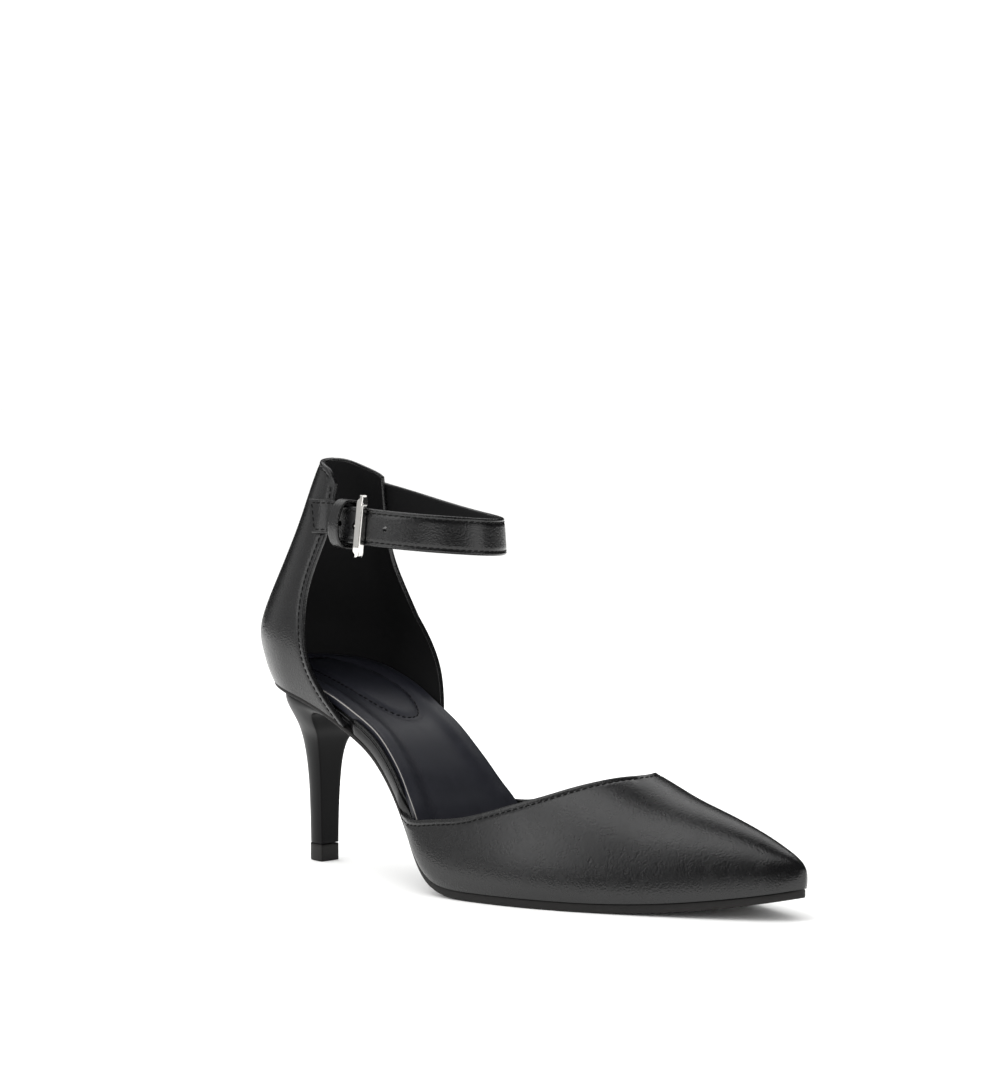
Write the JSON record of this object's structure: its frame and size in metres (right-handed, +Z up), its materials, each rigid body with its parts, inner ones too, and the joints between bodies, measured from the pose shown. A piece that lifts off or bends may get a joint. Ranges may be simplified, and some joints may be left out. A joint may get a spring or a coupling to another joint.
{
  "type": "d'orsay pump",
  "caption": "Black d'Orsay pump for the right foot: pointed closed toe, open waist, high closed counter, slim high heel and a buckled ankle strap.",
  "frame": {"origin": "middle of the footprint's bounding box, on the floor", "axes": "+X to the toe, +Y to the inner side of the foot, +Z up"},
  "size_m": [0.2416, 0.077, 0.1478],
  "materials": {
    "outsole": "matte brown-black",
    "heel": "satin black cover",
    "top_piece": "matte black",
    "insole_board": "satin black cover",
    "sock": "satin blue-black",
    "vamp": "satin black, fine pebble grain",
    "quarter": "satin black, fine pebble grain",
    "ankle_strap": "satin black, fine pebble grain",
    "buckle_tab": "satin black",
    "keeper_loop": "satin black",
    "buckle_frame": "polished",
    "buckle_prong": "polished"
  },
  "bodies": {
    "root": {"outsole": "outsole", "heel": "heel", "top_piece": "top_piece", "insole_board": "insole_board", "sock": "sock", "vamp": "vamp", "quarter": "quarter", "ankle_strap": "ankle_strap", "buckle_tab": "buckle_tab", "keeper_loop": "keeper_loop", "buckle_frame": "buckle_frame", "buckle_prong": "buckle_prong"}
  },
  "joints": []
}
